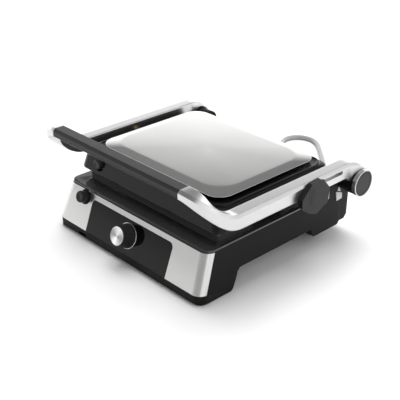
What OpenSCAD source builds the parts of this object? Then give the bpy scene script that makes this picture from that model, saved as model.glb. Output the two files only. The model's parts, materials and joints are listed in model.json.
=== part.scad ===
// Panini press: a contact grill whose upper half floats on a swing-over handle.
// Origin: on the table under the middle of the press. +X is its right-hand side,
// +Y its back and +Z up. All sizes are in millimetres.

/* [Base] */
// Width of the base at the foot of its side walls
base_w = 343; // [335:1:350]
// Width of the base over its deck, as the side walls lean inwards
deck_w = 329; // [327:1:335]
// Height of the flat deck round the lower plate
deck_z = 79.5; // [78.5:0.5:81]
// Height of the bezel that frames the lower plate
bezel_z = 90; // [88:0.5:91]
// Clear height of the arch under each side wall
arch_z = 34; // [30:1:38]
// Depth of the side walls from the foot of the fascia
side_d = 319.5; // [316:0.5:321]
// Half width of the rear part that carries the hinge lugs
rear_half_w = 165; // [160:1:166]

/* [Fascia and controls] */
// Lean of the steel fascia
fascia_tilt = 20; // [16:1:24]
// Height at which the fascia starts, above the plinth
fascia_low_z = 16; // [12:1:18]
// Height of the top edge of the fascia
fascia_top_z = 75.8; // [74:0.2:76.4]
// Width of the black control panel
panel_w = 192; // [180:1:200]
// Length of the control panel up the slope
panel_h = 55; // [50:1:58]
// Outer diameter of the chrome ring round the knob
knob_ring_d = 41; // [40:0.5:46]
// Diameter of the knob at its root
knob_d = 38; // [34:0.5:38]
// How far the knob stands out from the panel
knob_reach = 22.7; // [18:0.1:26]
// Diameter of each plate release button on the fascia
low_button_d = 20; // [16:0.5:22]

/* [Lid] */
// Width of the lid over its skirt
lid_w = 320; // [310:1:322]
// Front edge of the skirt, behind the foot of the fascia
lid_front_y = 44; // [42:1:48]
// Rear edge of the skirt
lid_rear_y = 299; // [290:1:300]
// Lowest edge of the skirt
lid_low_z = 97; // [96.5:0.5:99]
// Top of the black lid frame
lid_top_z = 130; // [128:0.5:132]
// Width of the steel top cover
cover_w = 280; // [270:1:290]
// Height of the rim of the steel top cover
cover_z = 138.5; // [137:0.5:139]

/* [Plates] */
// Width of each grill plate
plate_w = 288; // [270:1:290]
// Depth of each grill plate
plate_d = 232; // [220:1:234]
// Distance between the ribs of a plate
rib_pitch = 14.4; // [12:0.1:18]

/* [Handle] */
// Width of the handle over its two arms
handle_w = 382; // [376:1:386]
// Thickness of an arm, side to side
arm_t = 23.5; // [22:0.5:24]
// Height of the top face of the arms
arm_top_z = 138; // [137:0.5:139]
// Height of an arm, top to bottom
arm_h = 23.3; // [22:0.1:24]
// Height of the top of the grip
grip_top_z = 184.5; // [178:0.5:190]
// Length of the black grip
grip_w = 288; // [280:1:296]
// Hinge axis of the handle, behind the foot of the fascia
hinge_y = 329.5; // [328:0.5:331]
// Height of the hinge axis of the handle
hinge_z = 100; // [99:0.5:101]
// Diameter of the hinge caps
cap_d = 45; // [42:0.5:46]
// Width over the two hinge caps
caps_w = 406; // [404:1:410]

/* [Mains lead] */
// Diameter of the mains lead
cord_d = 9; // [7:0.5:9]
// Mean diameter of the stored coil
coil_d = 100; // [92:1:108]

/* [Hidden] */
$fn = 48;

grip_front_y = -16;                      // front face of the grip
mid_y = (grip_front_y + hinge_y + cap_d / 2) / 2;  // middle of the press, front to back
wall = 3;                                // thickness of the moulded walls
sheet = 1.2;                             // thickness of the steel fascia
corner_r = 16;                           // upright corners at the front of the base
plate_y = 59;                            // front edge of both grill plates
plate_gap_z = 89.5;                      // top of the ribs of the lower plate
rear_y = 343;                            // rear face of the base
arm_out = handle_w / 2;                  // outer face of an arm
arm_in = arm_out - arm_t;                // inner face of an arm
arm_low_z = arm_top_z - arm_h;           // underside of an arm
arm_front_y = 62;                        // where the straight arm meets its elbow
arm_rear_y = 305;                        // where the arm starts to curve down to the hinge
hub_r = 21.5;                            // black hub inside the end of an arm
pin_d = 10;                              // hinge pins
pivot_y = 175;                           // tilting axis of the lid
pivot_z = 120;
pivot_d = 8;                             // tilting pins of the lid
knob_v = 29.8;                           // knob centre, up the slope
low_button = [-116, 52];                 // lower release button: across, up the slope
up_button = [-114, 115];                 // upper release button: across, height
up_button_d = 17;
lid_screw_x = [-60, 60];                 // screws under the lid frame
lid_screw_y = [100, 250];
slot_z = [126.3, 132.6];                 // guide slot in the right arm
slot_y = [203, 287];
tray = [-166, 112, 98, 232];             // drip tray: left, right, front, back
chute = [-134, 128];                     // grease drain: across, depth
gland = [95, 36];                        // mains lead outlet: across, height

// ---- helpers ------------------------------------------------------------------------

// Moves a shape drawn from the foot of the fascia to the frame of the whole press
module placed() translate([0, -mid_y, 0]) children();

module both_sides() {
    children();
    mirror([1, 0, 0]) children();
}

// Extrudes an outline drawn in (y, z) between two places across the press
module across(x0, x1) translate([x0, 0, 0]) rotate([90, 0, 90]) linear_extrude(x1 - x0) children();

// Round bar or hole across the press
module bar_x(x0, x1, y, z, d) translate([x0, y, z]) rotate([0, 90, 0]) cylinder(h = x1 - x0, d = d);

// Local frame on the fascia: x across, y up the slope, z out of its face
module on_fascia() translate([0, 0, fascia_low_z]) rotate([90 - fascia_tilt, 0, 0]) children();

// Local frame in which an outline (x, depth behind the fascia) is extruded up the slope
module up_slope(from, len) on_fascia() translate([0, from, 0]) rotate([-90, 0, 0])
    linear_extrude(len) children();

module rounded_rect(x0, x1, y0, y1, r) {
    translate([x0 + r, y0]) square([x1 - x0 - 2 * r, y1 - y0]);
    translate([x0, y0 + r]) square([x1 - x0, y1 - y0 - 2 * r]);
    for (x = [x0 + r, x1 - r], y = [y0 + r, y1 - r]) translate([x, y]) circle(r);
}

module rounded_box(x0, x1, y0, y1, z0, z1, r) translate([0, 0, z0]) linear_extrude(z1 - z0)
    rounded_rect(x0, x1, y0, y1, r);

function slope_y(z) = (z - fascia_low_z) * tan(fascia_tilt);

// Half width of the base at a height
function half_w(z) = (base_w - (z - fascia_low_z) * (base_w - deck_w) / (deck_z - fascia_low_z)) / 2;

// Block that leans back with the fascia and inwards with the side walls, moved in by `inset`
module leaning_block(inset) hull() for (z = [-20, 110]) translate([0, 0, z]) linear_extrude(0.01)
    rounded_rect(
        inset - half_w(z), half_w(z) - inset, slope_y(z) + inset / cos(fascia_tilt), 600, corner_r - inset
    );

// ---- base ---------------------------------------------------------------------------

// Side view of the base without its deck
module side_outline() polygon([
    [0, 3], [2, 1.2], [64, 1.2], [68, 4], [79, 29], [84, arch_z], [246, arch_z], [252, 20],
    [312, 20], [side_d, 27.5], [side_d, deck_z - wall],
    [slope_y(deck_z - wall) + 1, deck_z - wall], [0, fascia_low_z]
]);

module rear_outline() polygon([
    [300, 20], [337, 20], [rear_y, 27], [rear_y, 70], [338, deck_z - wall], [300, deck_z - wall]
]);

// Hollow moulding: walls, arch, rear part and hinge lugs
module housing_shell() difference() {
    union() {
        intersection() {
            across(-base_w / 2, base_w / 2) side_outline();
            union() {
                intersection() {
                    leaning_block(0);
                    translate([-200, -50, fascia_low_z]) cube([400, 500, 100]);
                }
                rounded_box(-base_w / 2, base_w / 2, 0, 400, 0, fascia_low_z, corner_r);
            }
        }
        across(-rear_half_w, rear_half_w) rear_outline();
        both_sides() bar_x(150, base_w / 2, hinge_y, hinge_z, 40);
        both_sides() across(150, rear_half_w) polygon([
            [310, 60], [rear_y, 60], [rear_y, 86], [hinge_y + 19, hinge_z], [hinge_y - 19, hinge_z],
            [310, 90]
        ]);
        // fins in front of the hinge lugs, outside the lid
        both_sides() across(160.8, rear_half_w) polygon([
            [277, 70], [277, 93], [281, 97], [312, 99], [316, 70]
        ]);
    }
    intersection() {
        across(wall - base_w / 2, base_w / 2 - wall) polygon([
            [0, arch_z + wall], [247, arch_z + wall], [254, 24], [310, 24], [side_d - wall, 29],
            [side_d - wall, deck_z - 2], [0, deck_z - 2]
        ]);
        leaning_block(sheet + wall);
    }
    across(wall - rear_half_w, rear_half_w - wall) polygon([
        [300, 24], [336, 23.4], [rear_y - wall, 26.6], [rear_y - wall, 69],
        [337, deck_z - 2 * wall], [300, deck_z - 2 * wall]
    ]);
}

module base_housing() color("#262626") placed() difference() {
    union() {
        housing_shell();
        // screw bosses of the bottom cover
        for (x = [-128, 128], y = [108, 228]) translate([x, y, arch_z + 2]) cylinder(h = 12, d = 9);
    }
    // seats for the fascia and for the control panel
    intersection() {
        difference() {
            leaning_block(-1);
            leaning_block(sheet + 0.1);
        }
        up_slope(-10, 90) translate([-200, -5]) square([400, 18.6]);
        translate([-200, -50, fascia_low_z]) cube([400, 500, 100]);
    }
    on_fascia() translate([-panel_w / 2 - 0.5, 0, -2.9]) cube([panel_w + 1, panel_h + 1, 5]);
    // open underside between the front feet, hollow feet and seats for their pads
    difference() {
        translate([-138, 8, -1]) cube([276, 80, arch_z + 1]);
        // pocket of the thermostat
        translate([-21, 7, 20]) cube([42, 33, 20]);
    }
    on_fascia() translate([-16.5, knob_v - 13, -23]) cube([33, 26, 18.5]);
    both_sides() translate([142, 8, 8]) cube([24.5, 52, 32]);
    both_sides() rounded_box(142, 169, 8, 60, -1, 5, 5);
    // opening in the floor, with a rebate for the bottom cover
    rounded_box(-140, 140, 96, 240, 20, arch_z + 1.5, 6);
    rounded_box(-118, 118, 114, 222, 20, 40, 6);
    translate([chute[0], chute[1], 20]) cylinder(h = 30, d = 18);
    for (x = [-128, 128], y = [108, 228]) translate([x, y, 20]) cylinder(h = 40, d = 3);
    // openings for the controls
    on_fascia() translate([0, knob_v, -20]) cylinder(h = 40, d = 12);
    on_fascia() translate([low_button[0], low_button[1], -20]) cylinder(h = 40, d = low_button_d + 0.6);
    translate([-106 - 9, -5, 4]) cube([18, 14, 5]);
    // pin holes, lead outlet and foot seats
    both_sides() bar_x(140, 180, hinge_y, hinge_z, pin_d);
    translate([gland[0], 330, gland[1]]) rotate([-90, 0, 0]) cylinder(h = 30, d = 14);
    both_sides() translate([142, 290, 10]) cylinder(h = 30, d = 6);
}

module base_bottom_cover() color("#303030") placed() difference() {
    union() {
        rounded_box(-139.6, 139.6, 96.4, 239.6, arch_z, arch_z + 1.4, 5.6);
        // rails of the drip tray
        for (y = [tray[2] - 1.6, tray[3] - 2.4])
            translate([-138, y, 26]) cube([250, 4, 8]);
    }
    for (i = [-4 : 4]) translate([i * 22 + 14, 120, arch_z - 1]) cube([6, 84, 5]);
    translate([chute[0], chute[1], 20]) cylinder(h = 30, d = 18);
    for (x = [-128, 128], y = [108, 228]) translate([x, y, 20]) {
        cylinder(h = 30, d = 3.4);
        cylinder(h = arch_z - 20, d = 7.2);
    }
    // slots in which the rim of the tray slides
    translate([-170, tray[2] - 0.6, 29]) cube([320, tray[3] - tray[2] + 1.2, 2.6]);
    translate([-170, tray[2] + 2.4, 20]) cube([320, tray[3] - tray[2] - 4.8, 11.6]);
}

module deck_outline() polygon([
    [slope_y(deck_z - wall) + 1.5, deck_z - wall + 0.2], [side_d, deck_z - wall + 0.2],
    [side_d, deck_z], [25.4, deck_z], [24.2, deck_z - 1.2]
]);

module base_deck() color("#4a4746") placed() difference() {
    union() {
        intersection() {
            across(-base_w / 2, base_w / 2) deck_outline();
            leaning_block(0.6);
        }
        // bezel that frames the lower plate
        rounded_box(-150, 150, 53, 297, deck_z - wall, bezel_z, 8);
    }
    rounded_box(-145, 145, 57, 293, 60, 120, 10);
    // room for the hinge lugs and their fins
    both_sides() translate([149.8, 309.8, 60]) cube([30, 30, 60]);
    both_sides() translate([160.6, 276.8, 60]) cube([30, 60, 60]);
}

module front_fascia() color("#c9c9c7") placed() difference() {
    intersection() {
        leaning_block(0);
        up_slope(-10, 90) translate([-200, -1]) square([400, 14.5]);
        translate([-200, -50, fascia_low_z]) cube([400, 200, fascia_top_z - fascia_low_z]);
    }
    leaning_block(sheet);
    on_fascia() linear_extrude(20, center = true) union() {
        rounded_rect(-panel_w / 2 - 0.3, panel_w / 2 + 0.3, 10, panel_h + 0.3, 8);
        translate([-panel_w / 2 - 0.3, -20]) square([panel_w + 0.6, 40]);
    }
    on_fascia() translate([low_button[0], low_button[1], -10]) cylinder(h = 20, d = low_button_d + 0.6);
}

module control_panel() color("#0b0b0c") placed() on_fascia() difference() {
    translate([0, 0, -2.7]) linear_extrude(2.9) union() {
        rounded_rect(-panel_w / 2, panel_w / 2, 10, panel_h, 8);
        translate([-panel_w / 2, 0.3]) square([panel_w, 30]);
    }
    translate([0, knob_v, -10]) cylinder(h = 20, d = 12);
}

module knob_ring() color("#b8b8b8") placed() on_fascia() translate([0, knob_v, 0.2])
    rotate_extrude() polygon([
        [knob_ring_d / 2 - 1.2, 0], [knob_ring_d / 2, 0], [knob_ring_d / 2, 0.8],
        [knob_ring_d / 2 - 0.4, 1.4], [knob_ring_d / 2 - 1.2, 1.4]
    ]);

module thermostat() color("#8d8578") placed() on_fascia() translate([0, knob_v, 0]) difference() {
    union() {
        translate([-15, -11.5, -21.5]) cube([30, 23, 13.5]);
        translate([0, 0, -9]) cylinder(h = 8.4, d = 11);
        for (x = [-12, 6]) translate([x, 11, -18]) cube([6, 9, 1]);
    }
    translate([0, 0, -22]) cylinder(h = 30, d = 6.1);
}

// Comb outline of a ribbed plate, drawn in (x, z) with the ribs upwards
function comb(low, high, n) = [for (i = [0 : n - 1], p = [[-5, low], [-2, high], [2, high], [5, low]])
    [(i - (n - 1) / 2) * rib_pitch + p[0], p[1]]];

module plate_body(base_t, rib_h) {
    ribs = floor((plate_w - 24) / rib_pitch);
    difference() {
        rounded_box(-plate_w / 2 + 2, plate_w / 2 - 2, 0, plate_d, 0, base_t + rib_h, 8);
        rounded_box(-plate_w / 2 + 6, plate_w / 2 - 6, 4, plate_d - 4, base_t, base_t + rib_h + 1, 6);
    }
    translate([0, plate_d - 10, 0]) rotate([90, 0, 0]) linear_extrude(plate_d - 26) polygon(concat(
        [[-plate_w / 2 + 7, base_t - 1], [-plate_w / 2 + 7, base_t]],
        comb(base_t, base_t + rib_h, ribs),
        [[plate_w / 2 - 7, base_t], [plate_w / 2 - 7, base_t - 1]]));
}

module lower_plate() color("#232323") placed() difference() {
    translate([0, plate_y, plate_gap_z - 13]) plate_body(7, 6);
    translate([chute[0], chute[1], 60]) cylinder(h = 40, d = 8);
}

module upper_plate() color("#232323") placed() translate([0, plate_y, lid_low_z + 13.5])
    mirror([0, 0, 1]) plate_body(7, 6);

// Tubular heating element: a flat loop with thin cold ends
module heater_loop() {
    r = 24;
    half = 104;
    d = 6.5;
    both_sides() translate([half, 0, 0]) rotate([-90, 0, 0]) cylinder(h = 182, d = d);
    both_sides() translate([half - r, 0, 0]) rotate([0, 0, -90]) rotate_extrude(angle = 90)
        translate([r, 0]) circle(d = d);
    translate([r - half, -r, 0]) rotate([0, 90, 0]) cylinder(h = 2 * (half - r), d = d);
    both_sides() translate([half, 181, 0]) rotate([-90, 0, 0]) cylinder(h = 9, d = 3.4);
}

module lower_heater() color("#6b5a50") placed() translate([0, plate_y + 34, 72.6]) heater_loop();

module upper_heater() color("#6b5a50") placed() translate([0, plate_y + 34, lid_low_z + 17.3])
    heater_loop();

module reflector_pan() difference() {
    rounded_box(-136, 136, 4, plate_d - 4, 0, 7, 8);
    rounded_box(-135.2, 135.2, 4.8, plate_d - 4.8, 0.8, 8, 7.2);
}

module lower_reflector() color("#bdbdbd") placed() difference() {
    union() {
        translate([0, plate_y, 66]) reflector_pan();
        for (x = [-60, 60], y = [90, 250]) translate([x, y, arch_z + wall]) cylinder(h = 29.4, d = 8);
    }
    translate([chute[0], chute[1], 60]) cylinder(h = 20, d = 18);
}

module upper_reflector() color("#bdbdbd") placed() difference() {
    translate([0, plate_y, lid_low_z + 22.4]) mirror([0, 0, 1]) reflector_pan();
    for (x = lid_screw_x, y = lid_screw_y) translate([x, y, 100]) cylinder(h = 40, d = 3.4);
}

// Sprung tongues that hold a plate at its rear edge
module plate_clips(h) for (x = [-90, 90]) translate([x - 9, plate_y + plate_d + 0.1, 0]) {
    cube([18, 0.8, h]);
    translate([0, -1.6, h - 1]) cube([18, 2.4, 1]);
}

module lower_plate_clips() color("#a8a8a8") placed() translate([0, 0, 66.8]) plate_clips(9);

module upper_plate_clips() color("#a8a8a8") placed() translate([0, 0, lid_top_z - 3.4])
    mirror([0, 0, 1]) plate_clips(15);

module grease_chute() color("#a9a9a9") placed() translate([chute[0], chute[1], 0]) difference() {
    translate([0, 0, 33]) cylinder(h = 43.2, d = 14);
    translate([0, 0, 30]) cylinder(h = 50, d = 12);
}

module terminal_block() color("#e3ddcd") placed() difference() {
    translate([70, 258, 24]) cube([40, 20, 16]);
    for (i = [0 : 2]) translate([78 + i * 12, 250, 34]) rotate([-90, 0, 0]) cylinder(h = 40, d = 4);
}

module lower_button_collar() color("#1c1c1c") placed() on_fascia()
    translate([low_button[0], low_button[1], 0]) rotate_extrude() polygon([
        [low_button_d / 2 + 0.3, 0.02], [low_button_d / 2 + 2.6, 0.02], [low_button_d / 2 + 2.2, 0.9],
        [low_button_d / 2 + 1.2, 1.4], [low_button_d / 2 + 0.3, 1.4]
    ]);

// A coil spring: rings of an eight-sided wire swept along a helix
function helix_point(r, pitch, turns, t) = [r * cos(360 * turns * t), r * sin(360 * turns * t),
    pitch * turns * t];

module coil_spring(r, wire, pitch, turns) {
    steps = turns * 16;
    sides = 6;
    points = [for (i = [0 : steps]) let (a = 360 * turns * i / steps, c = helix_point(r, pitch, turns, i / steps))
        for (j = [0 : sides - 1]) let (b = 360 * j / sides)
            c + wire / 2 * [cos(b) * cos(a), cos(b) * sin(a), sin(b)]];
    polyhedron(points, tube_faces(steps + 1, sides), convexity = 8);
}

// Faces of a tube made of `rings` rings of `sides` points, closed at both ends
function tube_faces(rings, sides) = concat(
    [[for (j = [0 : sides - 1]) j]],
    [for (i = [0 : rings - 2], j = [0 : sides - 1]) let (k = (j + 1) % sides)
        [i * sides + j, (i + 1) * sides + j, (i + 1) * sides + k, i * sides + k]],
    [[for (j = [sides - 1 : -1 : 0]) (rings - 1) * sides + j]]);

module lower_button_spring() color("#c0c0c0") placed() on_fascia()
    translate([low_button[0], low_button[1], -16.6]) coil_spring(6, 1, 2.2, 4);

module upper_button_spring() color("#c0c0c0") placed()
    translate([up_button[0], 55.6, up_button[1]]) rotate([-90, 0, 0]) coil_spring(3.8, 0.7, 1.6, 4);

module lower_release_button() color("#3a3a3a") placed() on_fascia()
    translate([low_button[0], low_button[1], 0]) rotate_extrude() polygon([
        [0, -12], [3, -12], [3, -7], [low_button_d / 2 - 0.2, -7], [low_button_d / 2 - 0.2, 9.5],
        [low_button_d / 2 - 1.8, 12.2], [low_button_d / 2 - 4, 13], [0, 13]
    ]);

module knob_body() color("#1a1a1a") placed() on_fascia() translate([0, knob_v, 0]) rotate_extrude()
    polygon([
        [3.05, 1], [knob_d / 2 - 0.6, 1], [knob_d / 2, 1.8], [knob_d / 2, 4], [15.9, knob_reach - 1.6],
        [15.3, knob_reach - 0.6], [15, knob_reach - 0.6], [15, knob_reach - 2.4], [3.05, knob_reach - 2.4]
    ]);

module knob_shaft() color("#b59a4c") placed() on_fascia() translate([0, knob_v, -20])
    cylinder(h = 19 + knob_reach - 3, d = 6);

module knob_cap() color("#d9d9d9") placed() on_fascia() translate([0, knob_v, knob_reach - 2.4])
    rotate_extrude() polygon([[0, 0.02], [14.8, 0.02], [14.8, 1.8], [14.2, 2.4], [0, 2.2]]);

module drip_tray() color("#2b2b2b") placed() {
    difference() {
        union() {
            rounded_box(tray[0] + 8, tray[1], tray[2] + 4, tray[3] - 4, 8, 31, 6);
            translate([tray[0] + 8, tray[2], 29.5]) cube([tray[1] - tray[0] - 8, tray[3] - tray[2], 1.6]);
            translate([tray[0], tray[2] + 4, 8]) cube([10, tray[3] - tray[2] - 8, 20]);
        }
        rounded_box(tray[0] + 12, tray[1] - 3, tray[2] + 7, tray[3] - 7, 10.5, 40, 5);
        // finger recess in the outer face
        translate([tray[0] - 1, 140, 4]) cube([6, 50, 14]);
    }
}

module rubber_feet() color("#151515") placed() {
    both_sides() translate([142, 290, 0]) rotate_extrude() polygon([
        [0, 0], [7.5, 0], [9, 1.5], [9.6, 19.95], [2.9, 19.95], [2.9, 25], [0, 25]
    ]);
    both_sides() rounded_box(142.5, 168.5, 8.5, 59.5, 0, 4.9, 4.5);
}

module base_screws() color("#9a9a9a") placed() for (x = [-128, 128], y = [108, 228])
    translate([x, y, 0]) {
        translate([0, 0, arch_z - 2.2]) cylinder(h = 2.2, d = 6.6);
        translate([0, 0, arch_z - 1]) cylinder(h = 12, d = 2.96);
    }

module hinge_pins() color("#b0b0b0") placed() both_sides()
    bar_x(152, 197, hinge_y, hinge_z, pin_d - 0.04);

// ---- handle -------------------------------------------------------------------------

// Section of an arm in (across from its outer face, up from its middle), outer top edge cut off
function arm_section(w, h) = let (c = 0.19 * w) [
    [-w / 2, -h / 2], [w / 2, -h / 2], [w / 2, h / 2 - c], [w / 2 - c, h / 2], [-w / 2, h / 2]
];

// Centre line of the elbow: a cubic curve from the straight arm to the end of the grip
function mix(a, b, t) = a * (1 - t) + b * t;
elbow = [
    [arm_out - arm_t / 2, arm_front_y, arm_low_z + arm_h / 2],
    [arm_out - arm_t / 2, 25, arm_low_z + arm_h / 2],
    [185, -5, grip_top_z - 7],
    [grip_w / 2, -5, grip_top_z - 7]
];
function elbow_at(t) = elbow[0] * pow(1 - t, 3) + elbow[1] * 3 * t * pow(1 - t, 2)
    + elbow[2] * 3 * t * t * (1 - t) + elbow[3] * pow(t, 3);
function elbow_dir(t) = let (d = (elbow[1] - elbow[0]) * pow(1 - t, 2)
    + (elbow[2] - elbow[1]) * 2 * t * (1 - t) + (elbow[3] - elbow[2]) * t * t) d / norm(d);

module arm_elbow() {
    rings = 20;
    points = [for (i = [0 : rings]) let (
            t = i / rings,
            along = elbow_dir(t),
            side = cross([0, 0, 1], along) / norm(cross([0, 0, 1], along)),
            up = cross(along, side))
        for (p = arm_section(mix(arm_t, 22, t), mix(arm_h, 14, t)))
            elbow_at(t) + p[0] * side + p[1] * up];
    polyhedron(points, tube_faces(rings + 1, 5), convexity = 6);
}

// Side view of the end of an arm, curving down over the hinge hub
module arm_end_outline() difference() {
    union() {
        translate([hinge_y, hinge_z]) circle(24.5);
        polygon([
            [arm_rear_y - 6, arm_low_z], [arm_rear_y - 6, arm_top_z], [arm_rear_y, arm_top_z],
            [318, 136.4], [329, 131.5], [339, 122.4], [hinge_y, hinge_z],
            [308, 106], [304, 111]
        ]);
    }
    translate([hinge_y, hinge_z]) circle(hub_r + 0.05);
    translate([hinge_y - 40, hinge_z - 60]) square([80, 54]);
}

module arm_blank() {
    translate([0, arm_rear_y, 0]) rotate([90, 0, 0]) linear_extrude(arm_rear_y - arm_front_y)
        translate([arm_out - arm_t / 2, arm_low_z + arm_h / 2]) polygon(arm_section(arm_t, arm_h));
    across(173, 195) arm_end_outline();
    arm_elbow();
}

module arm_bores() {
    bar_x(arm_in - 1, arm_in + 11, pivot_y, pivot_z, pivot_d);
    bar_x(grip_w / 2 - 1, grip_w / 2 + 8, -5, grip_top_z - 7, 6);
}

module arm_right() color("#cfcfcf") placed() difference() {
    arm_blank();
    arm_bores();
    // guide slot of the lock slider
    across(arm_out - 8, arm_out + 1) {
        translate([slot_y[0] + 3.15, slot_z[0]]) square([slot_y[1] - slot_y[0] - 6.3, 6.3]);
        for (y = [slot_y[0] + 3.15, slot_y[1] - 3.15]) translate([y, slot_z[0] + 3.15]) circle(3.15);
    }
}

module arm_left() color("#cfcfcf") placed() mirror([1, 0, 0]) difference() {
    arm_blank();
    arm_bores();
}

module hinge_hubs() color("#222222") placed() both_sides() difference() {
    bar_x(172.3, 199, hinge_y, hinge_z, 2 * hub_r);
    bar_x(170, 197.4, hinge_y, hinge_z, pin_d + 0.06);
}

module hinge_caps() color("#c8c8c8") placed() both_sides() difference() {
    bar_x(199, caps_w / 2, hinge_y, hinge_z, cap_d);
    bar_x(caps_w / 2 - 2.6, caps_w / 2 + 1, hinge_y, hinge_z, 40);
}

module hinge_discs() color("#4d4d4d") placed() both_sides() difference() {
    bar_x(caps_w / 2 - 2.6, caps_w / 2 - 0.6, hinge_y, hinge_z, 39.8);
    bar_x(caps_w / 2 - 1.2, caps_w / 2 + 1, hinge_y, hinge_z, 34);
}

module grip_outline() polygon([
    [grip_front_y, 172.5], [grip_front_y, 180.5], [-12.4, grip_top_z], [4.5, grip_top_z], [6, 183],
    [6, 172], [4.5, 170.5], [-14, 170.5]
]);

module grip_half(z0, z1) difference() {
    intersection() {
        across(0.05 - grip_w / 2, grip_w / 2 - 0.05) grip_outline();
        translate([-200, -30, z0]) cube([400, 60, z1 - z0]);
    }
    bar_x(-200, 200, -5, grip_top_z - 7, 6.2);
}

module grip() color("#3d3d3f") placed() grip_half(174, 190);

module grip_underside() color("#2e2e30") placed() difference() {
    grip_half(160, 174);
    for (x = [-100, 100]) translate([x, -5, 160]) cylinder(h = 12.2, d = 6);
}

module grip_crossbar() color("#a0a0a0") placed()
    bar_x(-grip_w / 2 - 7.8, grip_w / 2 + 7.8, -5, grip_top_z - 7, 5.96);

module grip_screws() color("#8a8a8a") placed() for (x = [-100, 100])
    translate([x, -5, 170.7]) cylinder(h = 1.4, d = 5.8);

module lid_pivot_pins() color("#b0b0b0") placed() both_sides()
    bar_x(151, arm_in + 10.8, pivot_y, pivot_z, pivot_d - 0.04);

module slider_outline() polygon([
    [202, 140], [225, 141], [243, 121], [240, 98], [231, 96], [216, 88], [199, 94], [182, 106],
    [182, 120]
]);

module lock_slider() color("#202020") placed() {
    difference() {
        across(arm_out + 0.4, 201) slider_outline();
        // finger ribs
        for (y = [198, 202, 206]) across(200, 202) translate([y, 104]) square([1.6, 30]);
    }
    across(arm_out - 7, arm_out + 0.5) translate([206, slot_z[0] + 0.3])
        square([36, slot_z[1] - slot_z[0] - 0.6]);
}

// ---- lid ----------------------------------------------------------------------------

// Frustum between two rounded rectangles: [half width, front, back, height, corner radius]
module frustum(low, high) hull() for (s = [low, high])
    translate([0, 0, s[3]]) linear_extrude(0.01) rounded_rect(-s[0], s[0], s[1], s[2], s[4]);

lid_low = [lid_w / 2, lid_front_y, lid_rear_y, lid_low_z, 16];
lid_high = [lid_w / 2 - 7, lid_front_y + 7.5, lid_rear_y - 3, lid_top_z - 0.01, 16];
cover_low = [cover_w / 2, 68, 289, cover_z - 1.4, 27];
cover_rim = [cover_w / 2, 68, 289, cover_z, 27];
cover_high = [cover_w / 2 - 14, 82, 275, cover_z + 3.4, 36];
cover_crown = [cover_w / 2 - 60, 125, 232, cover_z + 4.6, 60];

module lid_frame() color("#191919") placed() difference() {
    union() {
        frustum(lid_low, lid_high);
        // raised seat of the steel cover
        rounded_box(-147, 147, 60, 293, lid_top_z - 0.1, lid_top_z + 3, 22);
        rounded_box(-137, 137, 71, 286, lid_top_z, cover_z - 1.6, 24);
        both_sides() bar_x(148, 163.5, pivot_y, pivot_z, 17);
    }
    difference() {
        frustum([156, 48, 295, 99.5, 12], [150, 55, 292, lid_top_z - 3, 12]);
        // screw bosses of the reflector, and bosses of the tilting pins
        for (x = lid_screw_x, y = lid_screw_y) translate([x, y, lid_low_z + 22.5]) cylinder(h = 20, d = 8);
        both_sides() bar_x(148, 170, pivot_y, pivot_z, 17);
    }
    for (x = lid_screw_x, y = lid_screw_y) translate([x, y, 100]) cylinder(h = 27, d = 3);
    rounded_box(-146, 146, 57.4, 293, 90, 101, 10);
    rounded_box(-134, 134, 74, 283, lid_top_z + 1, cover_z, 21);
    both_sides() bar_x(140, 170, pivot_y, pivot_z, 12);
    // seat and bore of the release button
    translate([up_button[0], 30, up_button[1]]) rotate([-90, 0, 0]) {
        cylinder(h = 30, d = up_button_d + 0.6);
        cylinder(h = 19.2, d = up_button_d + 6);
    }
}

module top_cover() color("#d4d4d2") placed() difference() {
    union() {
        frustum(cover_low, cover_rim);
        frustum(cover_rim, cover_high);
        frustum(cover_high, cover_crown);
    }
    translate([0, 0, -1.2]) frustum([137, 71, 286, cover_z - 1.4, 24], [124, 85, 272, cover_z + 3.2, 34]);
    translate([0, 0, -1.2]) frustum([124, 85, 272, cover_z + 3.2, 34], cover_crown);
}

module pivot_bushes() color("#b59a4c") placed() both_sides() difference() {
    bar_x(148, 163.5, pivot_y, pivot_z, 11.96);
    bar_x(140, 170, pivot_y, pivot_z, pivot_d + 0.06);
}

module lid_screws() color("#9a9a9a") placed() for (x = lid_screw_x, y = lid_screw_y)
    translate([x, y, 0]) {
        translate([0, 0, lid_low_z + 19.6]) cylinder(h = 2, d = 6);
        translate([0, 0, lid_low_z + 21]) cylinder(h = 8, d = 2.96);
    }

module upper_release_button() color("#3a3a3a") placed()
    translate([up_button[0], 41, up_button[1]]) rotate([-90, 0, 0]) rotate_extrude() polygon([
        [0, 0], [up_button_d / 2 - 2.4, 0], [up_button_d / 2 - 0.6, 1.2], [up_button_d / 2, 3],
        [up_button_d / 2, 14], [3, 14], [3, 16.4], [0, 16.4]
    ]);

// ---- mains lead ---------------------------------------------------------------------

// Route of the lead along the table, from the strain relief to the coil
run_route = [
    [95, 205, 36], [95, 211, 35.8], [94, 222, 34], [90, 234, 29], [83, 245, 20.3], [77, 253, 12.5],
    [68, 261, 7.2], [57, 272, 4.8], [46, 282, 4.6], [29, 298, 4.6], [10, 316, 4.6], [-10, 335.5, 4.6],
    [-30, 355, 4.6], [-50, 374, 4.6], [-67, 390, 4.6], [-81, 402.5, 4.6], [-97, 411.5, 4.6],
    [-115, 411.5, 4.6], [-131, 402, 4.6], [-140, 386, 4.6], [-140, 367, 4.6], [-130, 351, 4.6],
    [-112, 334, 4.6], [-94, 316.5, 4.7], [-76, 299, 5], [-60, 283.5, 5.3]
];
// Route of its end, from the top of the coil to the plug
tail_route = [
    [-48, 268, 23.8], [-41, 256, 23.4], [-31, 244, 22.4], [-18, 234, 21], [-2, 229, 19.6], [14, 228, 19]
];
coil_at = [-94, 247, 0.8];
coil_h = 27.6;
plug_at = [14, 228, 19];

function unit(v) = v / norm(v);
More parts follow.
